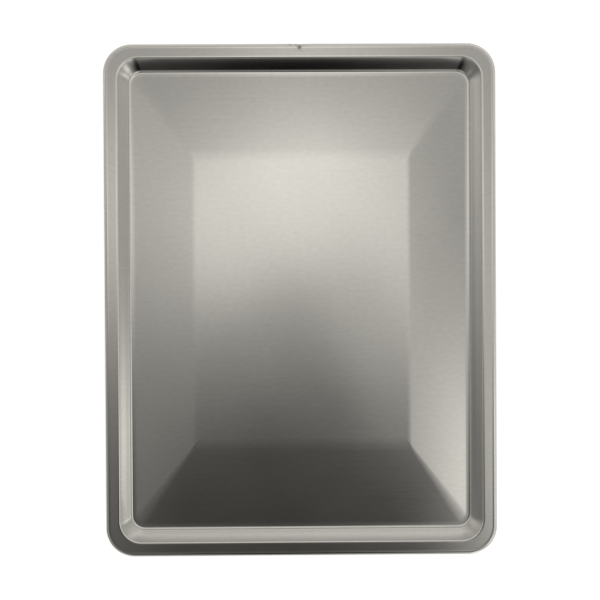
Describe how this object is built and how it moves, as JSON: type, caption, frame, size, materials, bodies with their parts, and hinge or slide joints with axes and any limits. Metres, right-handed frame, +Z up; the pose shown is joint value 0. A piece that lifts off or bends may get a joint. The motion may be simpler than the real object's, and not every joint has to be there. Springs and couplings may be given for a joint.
{
  "type": "sheet pan",
  "caption": "Shallow rectangular sheet pan of drawn stainless steel with sloped walls, round corners, a slightly raised flat floor panel and a flat rim rolled round a wire.",
  "frame": {"origin": "on the surface that the pan stands on, under the middle of the pan", "axes": "+Z up out of the pan's mouth, +Y along the pan's length towards the end where the wire's ends meet, +X across the pan"},
  "size_m": [0.311, 0.406, 0.025],
  "materials": {
    "pan_steel": "satin, lightly brushed across the pan",
    "wire_steel": "dull galvanised wire"
  },
  "bodies": {
    "root": {"pan_sheet": "pan_steel", "rim_wire": "wire_steel"}
  },
  "joints": []
}
